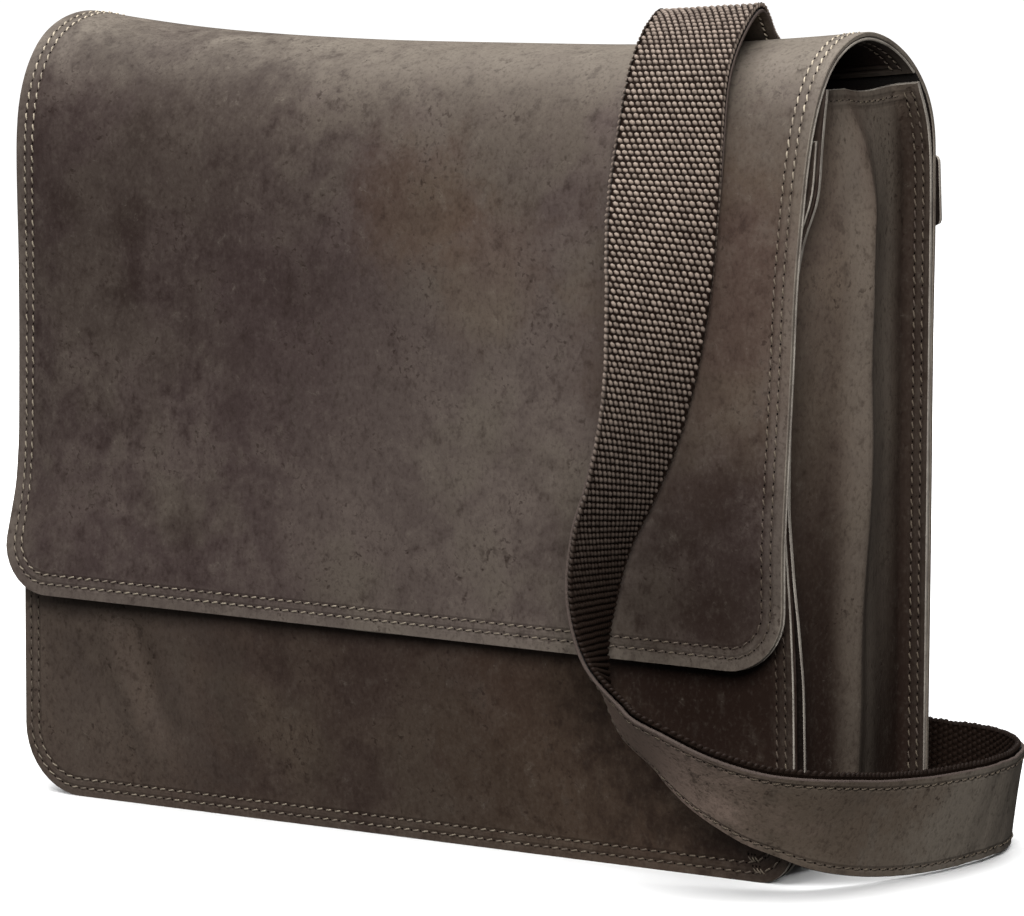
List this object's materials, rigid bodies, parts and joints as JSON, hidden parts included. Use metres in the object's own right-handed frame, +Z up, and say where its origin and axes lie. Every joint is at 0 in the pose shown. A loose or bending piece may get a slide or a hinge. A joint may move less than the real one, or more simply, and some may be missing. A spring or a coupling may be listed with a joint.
{
  "type": "laptop messenger bag",
  "caption": "Upright flap-over leather laptop bag with a folded side gusset and a wide leather-backed webbing shoulder strap draped over the front.",
  "frame": {"origin": "on the floor under the middle of the bag, in the flat middle of its base", "axes": "+X to the right as seen from the front, +Y from the front to the back, +Z up"},
  "size_m": [0.4436, 0.2102, 0.3513],
  "materials": {
    "leather": "oiled, distressed, matt",
    "lining": "flesh side, matt, pale cut edges",
    "webbing": "coarse plain weave, matt"
  },
  "bodies": {
    "root": {"back_and_flap": "leather", "flap_lining": "lining", "front_panel": "leather", "front_wall": "leather", "gusset": "leather", "strap_leather": "leather", "strap_webbing": "webbing", "strap_tab_right": "leather", "strap_tab_left": "leather"}
  },
  "joints": []
}
